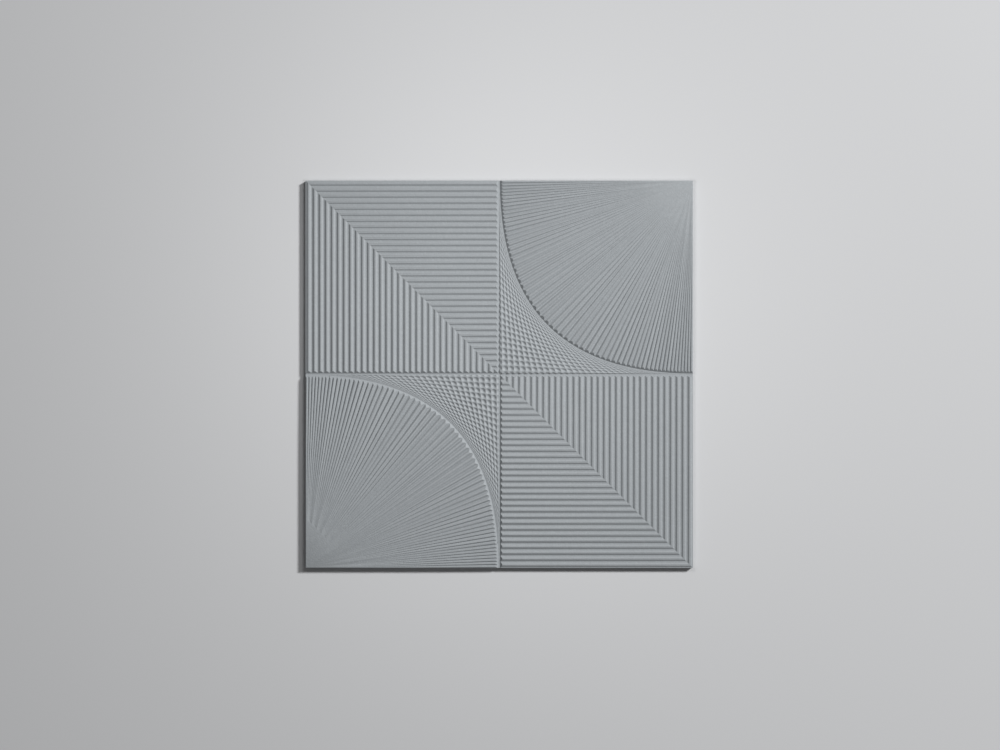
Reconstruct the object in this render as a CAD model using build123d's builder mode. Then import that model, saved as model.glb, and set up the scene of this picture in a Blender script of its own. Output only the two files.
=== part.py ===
from build123d import *

import os
from math import cos, radians, sqrt, tan

# Moulded ceiling tile in expanded polystyrene foam, one piece with a flat back.
# The face is divided into four square cells by a sunk channel. Two opposite cells hold
# nested ribs that turn a mitred corner on the tile's diagonal. The other two hold a raised
# sector whose ridges fan out from the tile's corner and end at a parabola, and beyond it
# the pits of a lattice of straight lines, all tangent to that parabola, in a plate that
# rises gently to the tile's centre.
# The tile lies on its back: the back is at z = 0 and the centre of the back is the origin.

# Driving dimensions, in millimetres, degrees and counts
tile_side = 500.0
crest_level = 10.0
edge_bevel = 0.8
edge_bevel_angle = 45.0

ribs_per_cell = 32
rib_height = 2.0
rib_flank_angle = 40.0
rib_crest_radius = 2.0

# The fan's grooves would be this deep at the tile's centre, and thin out to its corner
fan_ridges = 64
fan_groove_depth = 3.2
fan_land_share = 0.12
fan_plain_reach = 40.0

channel_width = 2.0
channel_level = 7.0
wall_angle = 45.0

# The lattice is highest, and its pits are widest and deepest, at the tile's centre
lattice_lines = 32
lattice_crest_level = 9.6
pit_depth = 2.2
pit_land_share = 0.2
smallest_pit = 1.95

# Room that a cutting shape has beyond the faces it cuts, and the share of a pit's width
# that two pit cutters keep clear between them above the plate
cutter_margin = 1.0
cutter_gap_share = 0.05

# Worked out from the driving dimensions
cell = tile_side / 2
rib_pitch = cell / ribs_per_cell
rib_floor_level = crest_level - rib_height
rib_sharp_height = rib_height + rib_crest_radius * (1 / cos(radians(rib_flank_angle)) - 1)
rib_half_width = rib_sharp_height / tan(radians(rib_flank_angle))
channel_side = channel_width / 2
wall_run = (crest_level - channel_level) / tan(radians(wall_angle))
lattice_height = lattice_crest_level - channel_level
fan_length = cell * sqrt(2)
fan_pitch = 2 * fan_length / fan_ridges
fan_root_height = fan_groove_depth * fan_land_share / (1 - fan_land_share)
fan_tip_height = fan_groove_depth * fan_plain_reach / (fan_length - fan_plain_reach)

# The outer envelope, with a bevel round the face
with BuildPart() as envelope:
    with BuildSketch() as back_outline:
        Rectangle(tile_side, tile_side)
    extrude(amount=crest_level - edge_bevel)
    with BuildSketch(Plane.XY.offset(crest_level - edge_bevel)) as bevel_foot:
        Rectangle(tile_side, tile_side)
    extrude(amount=edge_bevel + cutter_margin, taper=edge_bevel_angle)

# Section of one rib, on its groove floor
with BuildSketch() as rib_section:
    with BuildLine():
        Polyline((-rib_half_width, 0), (0, rib_sharp_height), (rib_half_width, 0), close=True)
    make_face()
    fillet(rib_section.vertices().sort_by(Axis.Y)[-1], radius=rib_crest_radius)

# Upper left cell: straight ribs that end in a sloped wall along the channel, cut off at
# the mitre, and their mirror image beyond it
with BuildPart() as rib_cell:
    with BuildSketch(Plane.YZ) as comb_section:
        with Locations((cell / 2, (channel_level + rib_floor_level) / 2)):
            Rectangle(cell, rib_floor_level - channel_level)
        with Locations(*[((k + 0.5) * rib_pitch, rib_floor_level) for k in range(ribs_per_cell)]):
            add(rib_section.sketch)
    extrude(amount=-cell)
    with BuildSketch() as mitre_outline:
        Polygon((-cell, cell), (-channel_side, channel_side), (-channel_side, cell))
    extrude(amount=crest_level + cutter_margin, mode=Mode.INTERSECT)
    with BuildSketch(Plane.XZ) as wall_outline:
        Polygon(
            (-cell, channel_level),
            (-channel_side, channel_level),
            (-channel_side - wall_run, crest_level),
            (-cell, crest_level),
        )
    extrude(amount=-cell, mode=Mode.INTERSECT)
    mirror(about=Plane(origin=(0, 0, 0), z_dir=(1, 1, 0)))


def sector_outline(level, inset):
    """Give a fan sector of the upper right cell, its parabola held off the inner edges."""
    with BuildSketch(Plane.XY.offset(level)) as outline:
        with BuildLine():
            Bezier((inset, cell), (inset, inset), (cell, inset))
            Polyline((cell, inset), (cell, cell), (inset, cell))
        make_face()
    return outline.sketch


# Comb of V-shaped teeth, at the tile's centre. The teeth's flanks run on above the crest
# level, and so leave a flat land there between two grooves
comb_points = [(-fan_length - fan_pitch / 2, fan_root_height)]
for k in range(fan_ridges + 1):
    comb_points.append((-fan_length + k * fan_pitch, -fan_groove_depth))
    comb_points.append((-fan_length + (k + 0.5) * fan_pitch, fan_root_height))
comb_points.append((fan_length + fan_pitch / 2, fan_root_height + cutter_margin))
comb_points.append((-fan_length - fan_pitch / 2, fan_root_height + cutter_margin))

# The comb runs to a tip above the tile's corner, so that its teeth rise out of the face
with BuildPart() as fan_cutter:
    with BuildSketch(Plane((0, 0, crest_level), x_dir=(1, -1, 0), z_dir=(-1, -1, 0))) as comb:
        Polygon(*comb_points)
    loft([comb.sketch, Vertex(cell, cell, crest_level + fan_tip_height)])

# Raised sector with a sloped wall along its parabola
with BuildPart() as fan_sector:
    foot = sector_outline(channel_level, channel_side)
    top = sector_outline(crest_level, channel_side + wall_run)
    loft([foot, top], ruled=True)
    add(fan_cutter.part, mode=Mode.SUBTRACT)


def lattice_point(s, t):
    """Give where the lines numbered s and t cross, both tangent to the same parabola."""
    return Vector(cell * s * t, cell * (1 - s - t + s * t))


def on_plate(point, height):
    """Give the point that lies so high above the sloped face of the lattice's plate."""
    level = channel_level + lattice_height * (1 - (point.X + point.Y) / cell)
    return Vector(point.X, point.Y, level + height)


def pit_corners(i, j):
    """Give the corners of the mesh of the lattice round the crossing of lines i and j."""
    sides = [(-0.5, -0.5), (0.5, -0.5), (0.5, 0.5), (-0.5, 0.5)]
    return [lattice_point((i + a) / lattice_lines, (j + b) / lattice_lines) for a, b in sides]


def pit_cutter(corners):
    """Give an upside-down pyramid, deeper in a wider mesh, or None in a mesh too small."""
    centre = sum(corners, Vector()) / 4
    first, second = corners[2] - corners[0], corners[3] - corners[1]
    area = abs(first.X * second.Y - first.Y * second.X) / 2
    longest = max((corners[n] - corners[n - 1]).length for n in range(4))
    width = area / longest * (1 - pit_land_share)
    if width < smallest_pit:
        return None
    depth = pit_depth * width / (rib_pitch * (1 - pit_land_share))
    # The cutter widens a little above the plate, and stays clear of its neighbours there
    spread = 1 - cutter_gap_share
    rim_height = depth * (spread / (1 - pit_land_share) - 1)
    rim = [on_plate(centre + (corner - centre) * spread, rim_height) for corner in corners]
    tip = Vertex(on_plate(centre, -depth))
    return loft([Face(Wire.make_polygon(rim)), tip], mode=Mode.PRIVATE)


pits = []
for i in range(1, lattice_lines):
    for j in range(i + 1, lattice_lines):
        pit = pit_cutter(pit_corners(i, j))
        if pit is not None:
            pits.append(pit)
print("pits in each lattice:", len(pits))

# Upper right cell: the lattice's plate, whose face slopes down from the tile's centre to
# the ends of the parabola, and the sector beyond a channel that parts them
with BuildPart() as fan_cell:
    with BuildSketch(Plane.XY.offset(channel_level)) as plate_slope:
        Polygon((0, 0), (cell, 0), (0, cell))
    loft([plate_slope.sketch, Vertex(0, 0, lattice_crest_level)])
    with BuildSketch(Plane.XY.offset(channel_level)) as plate_outline:
        with Locations((channel_side, channel_side)):
            Rectangle(cell - channel_side, cell - channel_side, align=Align.MIN)
        add(sector_outline(channel_level, 0), mode=Mode.SUBTRACT)
    extrude(plate_outline.sketch, amount=lattice_height, mode=Mode.INTERSECT)
    add(pits, mode=Mode.SUBTRACT)
    add(fan_sector.part)

# The whole tile: each cell stands again in the opposite one, turned half round
with BuildPart() as ceiling_tile:
    with BuildSketch() as base_outline:
        Rectangle(tile_side, tile_side)
    extrude(amount=channel_level)
    with PolarLocations(0, 2):
        add([rib_cell.part, fan_cell.part])
    add(envelope.part, mode=Mode.INTERSECT)

ceiling_tile.part.label = "ceiling_tile"
os.makedirs("parts", exist_ok=True)
export_step(ceiling_tile.part, "parts/ceiling_tile.step")
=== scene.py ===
# Moulded foam ceiling tile, laid face up on a pale floor under soft studio light.
# The file is laid out as a Blender add-on and is run as a script. Lengths are in metres.
# The tile's centre is the origin, its back lies at z = 0 and its face looks up.

from math import cos, pi, radians, sqrt, tan

import bmesh
import bpy
from bpy.props import FloatProperty, FloatVectorProperty, IntProperty, PointerProperty
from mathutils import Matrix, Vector


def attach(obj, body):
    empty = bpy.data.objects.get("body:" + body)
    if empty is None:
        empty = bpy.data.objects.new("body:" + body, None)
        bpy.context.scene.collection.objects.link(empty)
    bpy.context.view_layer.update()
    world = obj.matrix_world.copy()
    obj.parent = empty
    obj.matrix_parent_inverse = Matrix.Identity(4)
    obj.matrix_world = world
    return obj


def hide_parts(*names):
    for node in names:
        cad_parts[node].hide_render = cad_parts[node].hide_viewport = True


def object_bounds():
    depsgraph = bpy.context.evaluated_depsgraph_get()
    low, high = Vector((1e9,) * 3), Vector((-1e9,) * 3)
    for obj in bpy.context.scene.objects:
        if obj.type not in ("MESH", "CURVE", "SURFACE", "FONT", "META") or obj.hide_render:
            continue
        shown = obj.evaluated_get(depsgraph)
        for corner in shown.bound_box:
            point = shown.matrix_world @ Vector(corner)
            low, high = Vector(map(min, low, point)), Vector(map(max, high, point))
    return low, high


bl_info = {
    "name": "Foam ceiling tile",
    "version": (1, 0, 0),
    "blender": (4, 5, 0),
    "location": "3D View > Sidebar > Ceiling tile",
    "description": "Moulds a ribbed and fanned foam ceiling tile and lights it",
    "category": "Mesh",
}

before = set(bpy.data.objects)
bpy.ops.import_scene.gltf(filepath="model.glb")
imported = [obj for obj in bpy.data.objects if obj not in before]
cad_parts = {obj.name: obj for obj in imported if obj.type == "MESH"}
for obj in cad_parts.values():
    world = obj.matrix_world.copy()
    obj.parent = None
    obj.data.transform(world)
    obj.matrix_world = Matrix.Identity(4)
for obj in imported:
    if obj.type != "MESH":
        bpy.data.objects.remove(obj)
cad_low, cad_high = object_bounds()

# Room that a cell's solid has below the channels, inside the tile's base
SUNK = 0.002
# Room that a solid has beyond the envelope that trims it
OVERRUN = 0.002
# Points nearer than this are one point
WELD = 1e-6
# Points of the finished tile nearer than this are merged
SLIVER = 2e-5
# Turn between two faces from which their edge is drawn sharp
CREASE_ANGLE = radians(35)
# Facets of each rounding
CREST_FACETS = 5
FOOT_FACETS = 2
BROW_FACETS = 3
RIM_FACETS = 3
# Points along the parabola, and steps of the sheets across one ridge
PARABOLA_POINTS = 96
FAN_STEPS = 8
LATTICE_STEPS = 6
# Room in which a point counts as one on the parabola
PARABOLA_ROOM = 1e-4


class TileRelief(bpy.types.PropertyGroup):
    """Sizes of the tile and of the relief on its face"""

    side: FloatProperty(
        name="Side", description="Length of each side of the tile",
        default=cad_high.x - cad_low.x, subtype="DISTANCE", unit="LENGTH")
    crest_level: FloatProperty(
        name="Crest level", description="Height of the highest relief above the back",
        default=cad_high.z - cad_low.z, subtype="DISTANCE", unit="LENGTH")
    rim_radius: FloatProperty(
        name="Rim radius", description="Rounding of the edge round the face",
        default=0.0008, subtype="DISTANCE", unit="LENGTH")
    channel_width: FloatProperty(
        name="Channel width", description="Width of the channels between the four cells",
        default=0.002, subtype="DISTANCE", unit="LENGTH")
    channel_level: FloatProperty(
        name="Channel level", description="Height of the channels' floor above the back",
        default=0.007, subtype="DISTANCE", unit="LENGTH")
    ribs: IntProperty(
        name="Ribs", description="Ribs from the tile's centre to its edge",
        default=32, min=1)
    rib_height: FloatProperty(
        name="Rib height", description="Height of a rib above its groove",
        default=0.002, subtype="DISTANCE", unit="LENGTH")
    rib_flank_angle: FloatProperty(
        name="Rib flank", description="Slope of a rib's flanks",
        default=radians(40), subtype="ANGLE", unit="ROTATION")
    rib_crest_radius: FloatProperty(
        name="Rib crest radius", description="Rounding along the top of a rib",
        default=0.002, subtype="DISTANCE", unit="LENGTH")
    rib_foot_radius: FloatProperty(
        name="Rib foot radius", description="Rounding along the foot of a rib",
        default=0.0012, subtype="DISTANCE", unit="LENGTH")
    fan_ridges: IntProperty(
        name="Fan ridges", description="Ridges across one fan",
        default=64, min=2)
    fan_groove_depth: FloatProperty(
        name="Fan groove depth",
        description="Depth that the fan's grooves would have at the tile's centre",
        default=0.0036, subtype="DISTANCE", unit="LENGTH")
    fan_plain_reach: FloatProperty(
        name="Fan plain reach", description="Distance from the tile's corner to the grooves",
        default=0.045, subtype="DISTANCE", unit="LENGTH")
    fan_brow_radius: FloatProperty(
        name="Fan brow radius", description="Rounding along the top of the fan's sloped wall",
        default=0.0009, subtype="DISTANCE", unit="LENGTH")
    lattice_lines: IntProperty(
        name="Lattice lines", description="Lines of each family of the lattice",
        default=32, min=2)
    lattice_level: FloatProperty(
        name="Lattice level", description="Height of the floor between the lattice's ridges",
        default=0.0071, subtype="DISTANCE", unit="LENGTH")
    lattice_height: FloatProperty(
        name="Lattice height", description="Height of the lattice's highest ridges",
        default=0.0025, subtype="DISTANCE", unit="LENGTH")


class FoamFinish(bpy.types.PropertyGroup):
    """Colour and grain of the foam"""

    colour: FloatVectorProperty(
        name="Colour", description="Colour of the foam, as linear light",
        default=(0.31, 0.33, 0.345), size=3, min=0, max=1, subtype="COLOR")
    bead_size: FloatProperty(
        name="Bead size", description="Width of the foam's beads",
        default=0.0034, subtype="DISTANCE", unit="LENGTH")
    bead_swell: FloatProperty(
        name="Bead swell", description="Height to which a bead stands out of its seams",
        default=0.00007, subtype="DISTANCE", unit="LENGTH")
    roughness: FloatProperty(
        name="Roughness", description="Roughness of the moulded skin",
        default=0.62, min=0, max=1, subtype="FACTOR")


class StudioStage(bpy.types.PropertyGroup):
    """Floor, lamps and camera"""

    floor_colour: FloatVectorProperty(
        name="Floor colour", description="Colour of the floor, as linear light",
        default=(0.60, 0.605, 0.615), size=3, min=0, max=1, subtype="COLOR")
    room_light: FloatProperty(
        name="Room light", description="Strength of the even light from all round",
        default=0.13, min=0)
    key_power: FloatProperty(
        name="Key lamp", description="Power of the lamp to the right of the tile",
        default=392.0, min=0, unit="POWER")
    pool_power: FloatProperty(
        name="Pool lamp", description="Power of the lamp above the tile",
        default=0.9, min=0, unit="POWER")
    lens: FloatProperty(
        name="Lens", description="Focal length of the camera",
        default=85.0, unit="CAMERA")


# Modelling by hand: the piece that is worked on is the active object

def open_new(name):
    """Name the primitive that was just added, settle its place in its mesh and open it."""
    piece = bpy.context.object
    piece.name = name
    bpy.ops.object.transform_apply(location=True, rotation=True, scale=True)
    bpy.ops.object.mode_set(mode="EDIT")
    return piece


def pick(kind, test):
    """Select just those verts, edges or faces of the open mesh that pass the test."""
    modes = {"verts": "VERT", "edges": "EDGE", "faces": "FACE"}
    bpy.ops.mesh.select_mode(type=modes[kind])
    bpy.ops.mesh.select_all(action="DESELECT")
    mesh = bpy.context.edit_object.data
    shape = bmesh.from_edit_mesh(mesh)
    found = [part for part in getattr(shape, kind) if test(part)]
    if not found:
        raise RuntimeError(f"no {kind} of {bpy.context.edit_object.name} pass the test")
    for part in found:
        part.select_set(True)
    bmesh.update_edit_mesh(mesh)


def middle(edge):
    """Give the point halfway along an edge."""
    return (edge.verts[0].co + edge.verts[1].co) / 2


def runs_along(edge, axis):
    """Tell whether an edge lies along the x, y or z axis, numbered 0, 1 or 2."""
    span = edge.verts[1].co - edge.verts[0].co
    return abs(span[axis]) > 0.999 * span.length


def cut(point, normal, **options):
    """Bisect the whole open mesh by a plane."""
    bpy.ops.mesh.select_all(action="SELECT")
    bpy.ops.mesh.bisect(plane_co=point, plane_no=normal, threshold=WELD, **options)


def close_up():
    """Merge the open mesh's doubled points and turn its faces outwards."""
    bpy.ops.mesh.select_all(action="SELECT")
    bpy.ops.mesh.remove_doubles(threshold=WELD)
    bpy.ops.mesh.normals_make_consistent(inside=False)


def finish_edit():
    """Close the open mesh."""
    bpy.ops.object.mode_set(mode="OBJECT")


def make_active(piece):
    """Select one object alone and work on it."""
    bpy.ops.object.select_all(action="DESELECT")
    piece.select_set(True)
    bpy.context.view_layer.objects.active = piece


def combine(piece, other, operation):
    """Join, cut or trim a piece with another one, which is used up."""
    make_active(piece)
    bpy.ops.object.modifier_add(type="BOOLEAN")
    boolean = piece.modifiers[-1]
    boolean.operation = operation
    boolean.solver = "MANIFOLD"
    boolean.object = other
    bpy.ops.object.modifier_apply(modifier=boolean.name)
    bpy.data.objects.remove(other)


def turned_copy(piece):
    """Copy a piece into the opposite cell, half a turn round the tile's centre."""
    make_active(piece)
    bpy.ops.object.duplicate()
    copy = bpy.context.object
    copy.rotation_euler.z = pi
    bpy.ops.object.transform_apply(location=False, rotation=True, scale=False)
    return copy


def make_base(relief):
    """Plain slab up to the channels' floor, larger all round than the tile."""
    width = relief.side + 2 * OVERRUN
    height = relief.channel_level + OVERRUN
    bpy.ops.mesh.primitive_cube_add(
        size=1, location=(0, 0, relief.channel_level - height / 2), scale=(width, width, height))
    piece = open_new("foam_tile")
    finish_edit()
    return piece


def make_rib_cell(relief):
    """Upper left cell: one rib is modelled, repeated, cut at the mitre and mirrored over it."""
    cell = relief.side / 2
    pitch = cell / relief.ribs
    side = relief.channel_width / 2
    flank = relief.rib_flank_angle
    crest_radius = relief.rib_crest_radius
    sharp_height = relief.rib_height + crest_radius * (1 / cos(flank) - 1)
    half_width = sharp_height / tan(flank)
    floor_level = relief.crest_level - relief.rib_height
    bottom = relief.channel_level - SUNK
    length = cell + 2 * OVERRUN

    bpy.ops.mesh.primitive_cube_add(
        size=1, location=(-cell / 2, pitch / 2, (floor_level + bottom) / 2),
        scale=(length, pitch, floor_level - bottom))
    piece = open_new("rib_cell")
    for place in (pitch / 2 - half_width, pitch / 2, pitch / 2 + half_width):
        cut((0, place, 0), (0, 1, 0))

    def on_top(edge, place):
        point = middle(edge)
        return runs_along(edge, 0) and abs(point.y - place) < WELD and point.z > bottom + WELD

    pick("edges", lambda edge: on_top(edge, pitch / 2))
    bpy.ops.transform.translate(value=(0, 0, sharp_height))
    bpy.ops.mesh.bevel(
        offset=crest_radius * tan(flank), segments=CREST_FACETS, affect="EDGES",
        clamp_overlap=False)
    pick("edges", lambda edge: on_top(edge, pitch / 2 - half_width)
         or on_top(edge, pitch / 2 + half_width))
    bpy.ops.mesh.bevel(
        offset=relief.rib_foot_radius * tan(flank / 2), segments=FOOT_FACETS, affect="EDGES",
        clamp_overlap=False)
    pick("faces", lambda face: abs(face.normal.y) > 0.999)
    bpy.ops.mesh.delete(type="FACE")
    finish_edit()

    bpy.ops.object.modifier_add(type="ARRAY")
    array = piece.modifiers[-1]
    array.count = relief.ribs + 1
    array.use_relative_offset = False
    array.use_constant_offset = True
    array.constant_offset_displace = (0, pitch, 0)
    array.use_merge_vertices = True
    array.merge_threshold = WELD
    bpy.ops.object.modifier_apply(modifier=array.name)

    bpy.ops.object.mode_set(mode="EDIT")
    for place in (0, pitch * (relief.ribs + 1)):
        pick("edges", lambda edge: edge.is_boundary and abs(middle(edge).y - place) < WELD)
        bpy.ops.mesh.edge_face_add()
    # The ribs end in a wall that slopes down to the channel
    cut((-side, 0, relief.channel_level), (1, 0, 1), clear_outer=True, use_fill=True)
    cut((0, 0, 0), (1, 1, 0), clear_inner=True)
    bpy.ops.mesh.select_all(action="SELECT")
    bpy.ops.mesh.duplicate()
    bpy.ops.transform.resize(value=(-1, 1, 1), center_override=(0, 0, 0))
    bpy.ops.transform.rotate(value=-pi / 2, orient_axis="Z", center_override=(0, 0, 0))
    close_up()
    finish_edit()
    return piece


def make_sector(relief):
    """Raised fan sector of the upper right cell, without its grooves."""
    cell = relief.side / 2
    side = relief.channel_width / 2
    bottom = relief.channel_level - SUNK
    # The sector's wall slopes by 45 degrees, so it is inset by as much as it rises
    foot_inset = side - SUNK
    rise = relief.crest_level - bottom

    bpy.ops.curve.primitive_bezier_curve_add()
    curve = bpy.context.object
    start, end = curve.data.splines[0].bezier_points
    corner = Vector((foot_inset, foot_inset, bottom))
    for point, place in ((start, (foot_inset, cell, bottom)), (end, (cell, foot_inset, bottom))):
        point.handle_left_type = "FREE"
        point.handle_right_type = "FREE"
        point.co = place
        # Two thirds of the way to the control corner make the cubic curve a parabola
        handle = point.co.lerp(corner, 2 / 3)
        point.handle_left = handle
        point.handle_right = handle
    curve.data.resolution_u = PARABOLA_POINTS
    bpy.ops.object.convert(target="MESH")
    piece = open_new("fan_cell")
    # The outline goes on from the parabola's end to the tile's corner, and back to its start
    pick("verts", lambda vert: vert.co.y > cell - WELD)
    bpy.ops.mesh.extrude_vertices_move(
        TRANSFORM_OT_translate={"value": (cell - foot_inset, 0, 0)})
    pick("verts", lambda vert: vert.co.x > cell - WELD)
    bpy.ops.mesh.edge_face_add()
    bpy.ops.mesh.select_mode(type="EDGE")
    bpy.ops.mesh.select_all(action="SELECT")
    bpy.ops.mesh.edge_face_add()
    bpy.ops.mesh.select_all(action="SELECT")
    bpy.ops.mesh.extrude_region_move(TRANSFORM_OT_translate={"value": (0, 0, rise)})
    shrink = (cell - foot_inset - rise) / (cell - foot_inset)
    bpy.ops.transform.resize(value=(shrink, shrink, 1), center_override=(cell, cell, 0))
    close_up()

    def on_brow(edge):
        point = middle(edge)
        return (edge.verts[0].co.z > relief.crest_level - WELD
                and edge.verts[1].co.z > relief.crest_level - WELD
                and point.x < cell - WELD and point.y < cell - WELD)

    pick("edges", on_brow)
    bpy.ops.mesh.bevel(
        offset=relief.fan_brow_radius, segments=BROW_FACETS, affect="EDGES",
        clamp_overlap=False)
    # The two outer walls go out past the envelope that trims them
    pick("verts", lambda vert: vert.co.x > cell - WELD)
    bpy.ops.transform.translate(value=(OVERRUN, 0, 0))
    pick("verts", lambda vert: vert.co.y > cell - WELD)
    bpy.ops.transform.translate(value=(0, OVERRUN, 0))
    finish_edit()
    return piece


def make_fan_cutter(relief):
    """Comb that cuts the fan's grooves: its section shrinks to a point at the tile's corner."""
    cell = relief.side / 2
    length = cell * sqrt(2)
    pitch = 2 * length / relief.fan_ridges
    depth = relief.fan_groove_depth
    # The tip lies so far above the corner that the grooves rise out of the face before it
    lift = depth * relief.fan_plain_reach / (length - relief.fan_plain_reach)
    # One tooth more than needed on either side
    teeth = relief.fan_ridges + 2
    # Height of the comb's straight back above the face
    back_height = 0.002

    bpy.ops.mesh.primitive_grid_add(
        x_subdivisions=1, y_subdivisions=teeth * FAN_STEPS, size=1,
        location=(length, 0, relief.crest_level), rotation=(0, pi / 2, 0),
        scale=(2 * back_height, teeth * pitch, 1))
    piece = open_new("fan_cutter")
    finish_edit()
    for vert in piece.data.vertices:
        if vert.co.z < relief.crest_level:
            vert.co.z = relief.crest_level + groove_wave(vert.co.y / pitch) * depth
    bpy.ops.object.mode_set(mode="EDIT")
    bpy.ops.mesh.select_all(action="SELECT")
    bpy.ops.mesh.extrude_region_move()
    bpy.ops.transform.resize(
        value=(0, 0, 0), center_override=(0, 0, relief.crest_level + lift))
    close_up()
    finish_edit()
    # From along the x axis it turns to the diagonal, with its tip over the tile's corner
    piece.rotation_euler.z = radians(225)
    piece.location = (cell, cell, 0)
    bpy.ops.object.transform_apply(location=True, rotation=True, scale=True)
    return piece


def groove_wave(phase):
    """Give a groove's height as a share of its depth: -1 at whole phases, its lands above 0."""
    # The wave is a little taller than the groove, so that flat lands stay between two
    # grooves, and a power below 1 makes those lands broad
    height, breadth = 1.12, 0.8
    return -1 + height * (0.5 - 0.5 * cos(2 * pi * phase)) ** breadth


def make_lattice(relief):
    """Low plate of the upper right cell: ridges along two families of lines, all of which
    touch one parabola. A flat sheet is numbered by its two lines and laid out from there."""
    cell = relief.side / 2
    side = relief.channel_width / 2
    lines = relief.lattice_lines
    # The sheet reaches so far under the sector, as a share of the way to the tile's corner
    tuck = 0.05

    bpy.ops.mesh.primitive_grid_add(
        x_subdivisions=lines * LATTICE_STEPS, y_subdivisions=lines * LATTICE_STEPS, size=1,
        location=(0.5, 0.5, 0))
    piece = open_new("lattice")
    cut((0, 0, 0), (1, -1, 0), clear_outer=True)
    finish_edit()
    for vert in piece.data.vertices:
        s, t = vert.co.x, vert.co.y
        spread = max(sqrt(s * s + (1 - s) ** 2), sqrt(t * t + (1 - t) ** 2))
        width = abs(t - s) / spread
        ridge = 1 - pit_share(s * lines) * pit_share(t * lines)
        level = relief.lattice_level + relief.lattice_height * width * ridge
        vert.co = (cell * s * t, cell * (1 - s) * (1 - t), level)
    bpy.ops.object.mode_set(mode="EDIT")
    cut((side, 0, 0), (1, 0, 0), clear_inner=True)
    cut((0, side, 0), (0, 1, 0), clear_inner=True)

    def on_parabola(vert):
        gap = sqrt(abs(vert.co.x)) + sqrt(abs(vert.co.y)) - sqrt(cell)
        return abs(gap) < PARABOLA_ROOM

    pick("edges", lambda edge: edge.is_boundary and all(map(on_parabola, edge.verts)))
    bpy.ops.mesh.extrude_edges_move()
    bpy.ops.transform.resize(
        value=(1 - tuck, 1 - tuck, 1), center_override=(cell, cell, 0))
    pick("edges", lambda edge: edge.is_boundary)
    bpy.ops.mesh.extrude_edges_move()
    bpy.ops.transform.resize(
        value=(1, 1, 0), center_override=(0, 0, relief.channel_level - SUNK))
    bpy.ops.mesh.edge_face_add()
    close_up()
    finish_edit()
    return piece


def pit_share(line):
    """Give how far a pit goes down, 0 on the ridges halfway between two whole lines."""
    # A power above 1 makes the ridges a little broader than the pits
    breadth = 1.2
    return abs(cos(pi * line)) ** breadth


def make_envelope(relief):
    """The tile's outer box, with a rounded edge round its face."""
    bpy.ops.mesh.primitive_cube_add(
        size=1, location=(0, 0, relief.crest_level / 2),
        scale=(relief.side, relief.side, relief.crest_level))
    piece = open_new("envelope")
    pick("edges", lambda edge: middle(edge).z > relief.crest_level - WELD)
    bpy.ops.mesh.bevel(offset=relief.rim_radius, segments=RIM_FACETS, affect="EDGES")
    finish_edit()
    return piece


def clear_slivers(piece):
    """Merge points and drop edges that are too small to see on the joined tile."""
    make_active(piece)
    bpy.ops.object.mode_set(mode="EDIT")
    bpy.ops.mesh.select_all(action="SELECT")
    bpy.ops.mesh.remove_doubles(threshold=SLIVER)
    bpy.ops.mesh.dissolve_degenerate(threshold=SLIVER / 2)
    finish_edit()


def check_closed(piece):
    """Raise an error where a piece's mesh is open or inside out."""
    shape = bmesh.new()
    shape.from_mesh(piece.data)
    open_edges = sum(not edge.is_manifold for edge in shape.edges)
    volume = shape.calc_volume(signed=True)
    shape.free()
    if open_edges or volume <= 0:
        raise RuntimeError(f"{piece.name} is not a closed shape")


class Shade:
    """One socket of a material's nodes, with sums on it that add their Math nodes."""

    def __init__(self, tree, socket):
        self.tree = tree
        self.socket = socket

    def node(self, kind, settings=None, inputs=None, output=0):
        """Add a node, set it up, feed its sockets and give one of its outputs."""
        made = self.tree.nodes.new(kind)
        for name, value in (settings or {}).items():
            setattr(made, name, value)
        for name, value in (inputs or {}).items():
            if isinstance(value, Shade):
                self.tree.links.new(value.socket, made.inputs[name])
            else:
                made.inputs[name].default_value = value
        return Shade(self.tree, made.outputs[output])

    def maths(self, operation, first, second):
        """Give the sum, difference or product of two sockets or numbers."""
        return self.node("ShaderNodeMath", {"operation": operation}, {0: first, 1: second})

    def __add__(self, other):
        return self.maths("ADD", self, other)

    def __radd__(self, other):
        return self.maths("ADD", other, self)

    def __sub__(self, other):
        return self.maths("SUBTRACT", self, other)

    def __rsub__(self, other):
        return self.maths("SUBTRACT", other, self)

    def __mul__(self, other):
        return self.maths("MULTIPLY", self, other)

    def __rmul__(self, other):
        return self.maths("MULTIPLY", other, self)

    def ramp(self, low, high):
        """Give 0 below the low value and 1 above the high one, with a soft run between."""
        settings = {"interpolation_type": "SMOOTHSTEP"}
        return self.node("ShaderNodeMapRange", settings,
                         {"Value": self, "From Min": low, "From Max": high})


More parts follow.
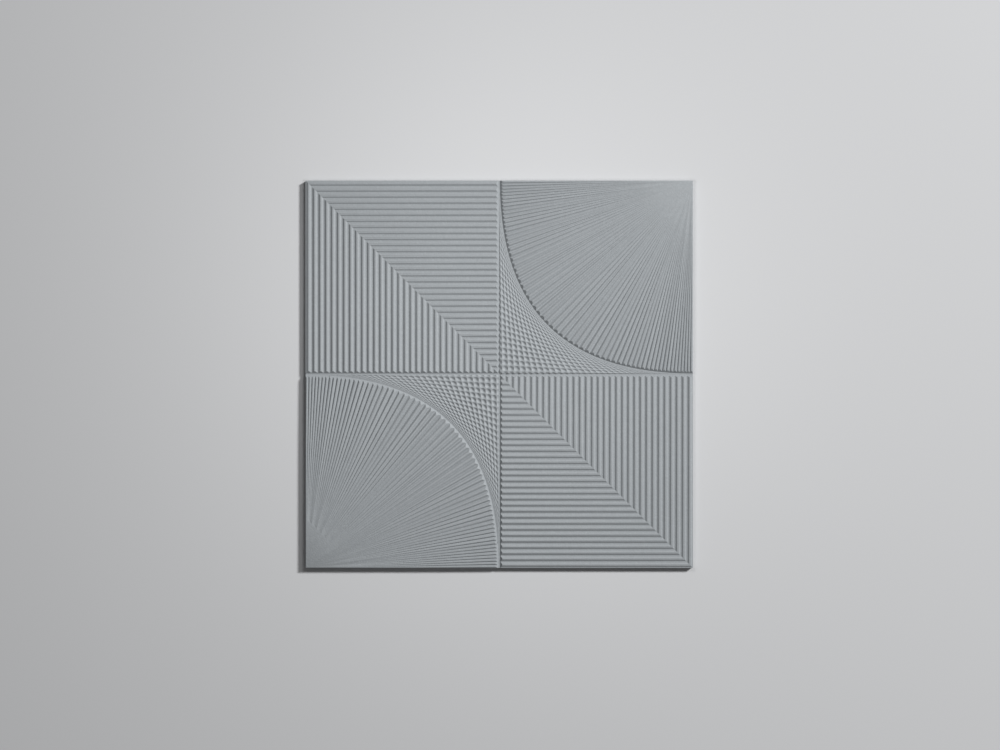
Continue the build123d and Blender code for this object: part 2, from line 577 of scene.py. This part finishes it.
def foam_material(finish):
    """Skin of fused beads: flat pads, each of its own shade and height, with thin seams darkened
    by painted shade.
    """
    material = bpy.data.materials.new("moulded_bead_foam")
    material.use_nodes = True
    tree = material.node_tree
    shader = tree.nodes["Principled BSDF"]
    place = Shade(tree, None).node("ShaderNodeTexCoord", output="Object")
    beads_per_metre = 1 / finish.bead_size

    def beads(feature, output):
        return place.node("ShaderNodeTexVoronoi", {"feature": feature},
                          {"Vector": place, "Scale": beads_per_metre}, output)

    def grain(size, detail=2.0):
        return place.node("ShaderNodeTexNoise", None,
                          {"Vector": place, "Scale": 1 / size, "Detail": detail})

    # Reach of a bead's rounded edge and of the painted shade in its seam, as shares of its width
    edge_reach, seam_reach = 0.14, 0.07
    seam_gap = beads("DISTANCE_TO_EDGE", "Distance")
    pad = seam_gap.ramp(0.0, edge_reach)
    seam = 1 - seam_gap.ramp(0.0, seam_reach)
    # One channel of a bead's random colour gives its shade and its height
    bead_tint = place.node(
        "ShaderNodeSeparateColor", None, {"Color": beads("F1", "Color")})
    patches = grain(size=0.06)
    fine = grain(size=0.0007, detail=3.0)
    # Shade of the darkest bead, how much lighter the lightest one is, how far wide patches
    # change the shade, and how far painted shade darkens the seams, all as shares of the colour
    darkest_bead, bead_range, patch_range, seam_painted_shade = 0.965, 0.05, 0.04, 0.07
    tone = darkest_bead + bead_range * bead_tint + patch_range * (patches - 0.5)
    # Painted shade darkens the seams between the beads
    tone = tone * (1 - seam_painted_shade * seam)
    colour = place.node(
        "ShaderNodeMix", {"data_type": "RGBA", "blend_type": "MULTIPLY"},
        {"Factor": 1.0, 6: (*finish.colour, 1), 7: tone}, 2)
    tree.links.new(colour.socket, shader.inputs["Base Color"])
    # What the seams and the fine grain add to the roughness
    seam_rough, grain_rough = 0.12, 0.1
    roughness = finish.roughness + seam_rough * seam + grain_rough * (fine - 0.5)
    tree.links.new(roughness.socket, shader.inputs["Roughness"])
    # How far beads differ in height, and how high the fine grain is, as shares of the swell
    bead_lift, grain_lift = 0.3, 0.2
    height = pad + bead_lift * bead_tint + grain_lift * fine
    bump = place.node("ShaderNodeBump", None, {
        "Strength": 1.0, "Distance": finish.bead_swell, "Height": height})
    tree.links.new(bump.socket, shader.inputs["Normal"])
    shader.inputs["Specular IOR Level"].default_value = 0.35
    return material


class CEILING_TILE_OT_mould(bpy.types.Operator):
    """Mould the foam tile with its ribs, fans and lattices"""

    bl_idname = "ceiling_tile.mould"
    bl_label = "Mould foam tile"

    def execute(self, context):
        relief = context.scene.tile_relief
        bpy.ops.object.select_all(action="DESELECT")
        tile = make_base(relief)
        ribs = make_rib_cell(relief)
        check_closed(ribs)
        sector = make_sector(relief)
        check_closed(sector)
        cutter = make_fan_cutter(relief)
        check_closed(cutter)
        combine(sector, cutter, "DIFFERENCE")
        check_closed(sector)
        lattice = make_lattice(relief)
        check_closed(lattice)
        combine(sector, lattice, "UNION")
        check_closed(sector)
        for part in (ribs, sector):
            combine(tile, turned_copy(part), "UNION")
            combine(tile, part, "UNION")
        combine(tile, make_envelope(relief), "INTERSECT")
        clear_slivers(tile)
        check_closed(tile)
        tile.data.materials.clear()
        tile.data.materials.append(foam_material(context.scene.foam_finish))
        bpy.ops.object.shade_smooth_by_angle(angle=CREASE_ANGLE)
        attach(tile, "root")
        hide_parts("ceiling_tile")
        return {"FINISHED"}


class CEILING_TILE_OT_set_stage(bpy.types.Operator):
    """Lay the floor, hang the lamps and set the camera straight above the tile"""

    bl_idname = "ceiling_tile.set_stage"
    bl_label = "Set stage"

    def execute(self, context):
        studio = context.scene.studio_stage
        relief = context.scene.tile_relief
        # The key lamp stands far off to the right, and so shades the relief evenly. The
        # pool lamp hangs close above the tile and brightens its middle
        key_place, key_size = (4.0, 2.55, 3.7), 0.9
        pool_place, pool_target, pool_size = (0, 0.12, 0.52), (0, 0.12, 0), 0.2
        lay_floor(studio)
        light_room(studio)
        hang_lamp("key_lamp", key_place, (0, 0, 0), key_size, studio.key_power)
        hang_lamp("pool_lamp", pool_place, pool_target, pool_size, studio.pool_power)
        set_camera(studio, relief)
        return {"FINISHED"}


def lay_floor(studio):
    """Plain pale floor, wide enough for every view."""
    bpy.ops.mesh.primitive_plane_add(size=16, location=(0, 0, 0))
    floor = bpy.context.object
    floor.name = "floor"
    material = bpy.data.materials.new("pale_floor")
    material.use_nodes = True
    shader = material.node_tree.nodes["Principled BSDF"]
    shader.inputs["Base Color"].default_value = (*studio.floor_colour, 1)
    shader.inputs["Roughness"].default_value = 0.9
    shader.inputs["Specular IOR Level"].default_value = 0.2
    floor.data.materials.append(material)


def light_room(studio):
    """Even light from all round."""
    world = bpy.data.worlds.new("room_light")
    world.use_nodes = True
    background = world.node_tree.nodes["Background"]
    background.inputs["Color"].default_value = (1, 1, 1, 1)
    background.inputs["Strength"].default_value = studio.room_light
    bpy.context.scene.world = world


def hang_lamp(name, place, target, size, power):
    """Square soft lamp that points at a target and isn't seen itself."""
    bpy.ops.object.light_add(type="AREA", location=place)
    lamp = bpy.context.object
    lamp.name = name
    lamp.data.shape = "SQUARE"
    lamp.data.size = size
    lamp.data.energy = power
    aim = Vector(target) - Vector(place)
    lamp.rotation_euler = aim.to_track_quat("-Z", "Y").to_euler()
    lamp.visible_camera = False


def set_camera(studio, relief):
    """Camera straight above the tile, which fills the square of the photograph's field."""
    pixels_wide, field_pixels = 1000, 387.5
    offset_pixels = 0.75
    metres_per_pixel = relief.side / field_pixels
    bpy.ops.object.camera_add(rotation=(0, 0, 0))
    camera = bpy.context.object
    camera.name = "overhead_camera"
    camera.data.lens = studio.lens
    distance = metres_per_pixel * pixels_wide * studio.lens / camera.data.sensor_width
    offset = offset_pixels * metres_per_pixel
    camera.location = (offset, -offset, relief.crest_level + distance)
    camera.data.clip_end = 100
    bpy.context.scene.camera = camera
    bpy.context.scene.view_settings.view_transform = "Standard"


class CEILING_TILE_PT_workshop(bpy.types.Panel):
    """Sizes, finish and stage of the tile, with a button for each step"""

    bl_idname = "CEILING_TILE_PT_workshop"
    bl_label = "Ceiling tile"
    bl_space_type = "VIEW_3D"
    bl_region_type = "UI"
    bl_category = "Ceiling tile"

    def draw(self, context):
        for group, operators in (
                (context.scene.tile_relief, ()),
                (context.scene.foam_finish, ("ceiling_tile.mould",)),
                (context.scene.studio_stage, ("ceiling_tile.set_stage",))):
            box = self.layout.box()
            for name in group.bl_rna.properties.keys():
                if name not in ("rna_type", "name"):
                    box.prop(group, name)
            for operator in operators:
                box.operator(operator)


CLASSES = (
    TileRelief,
    FoamFinish,
    StudioStage,
    CEILING_TILE_OT_mould,
    CEILING_TILE_OT_set_stage,
    CEILING_TILE_PT_workshop,
)


def register():
    for cls in CLASSES:
        bpy.utils.register_class(cls)
    bpy.types.Scene.tile_relief = PointerProperty(type=TileRelief)
    bpy.types.Scene.foam_finish = PointerProperty(type=FoamFinish)
    bpy.types.Scene.studio_stage = PointerProperty(type=StudioStage)


def unregister():
    del bpy.types.Scene.studio_stage
    del bpy.types.Scene.foam_finish
    del bpy.types.Scene.tile_relief
    for cls in reversed(CLASSES):
        bpy.utils.unregister_class(cls)


def main():
    register()
    bpy.ops.ceiling_tile.mould()
    bpy.ops.ceiling_tile.set_stage()


if __name__ == "__main__":
    main()
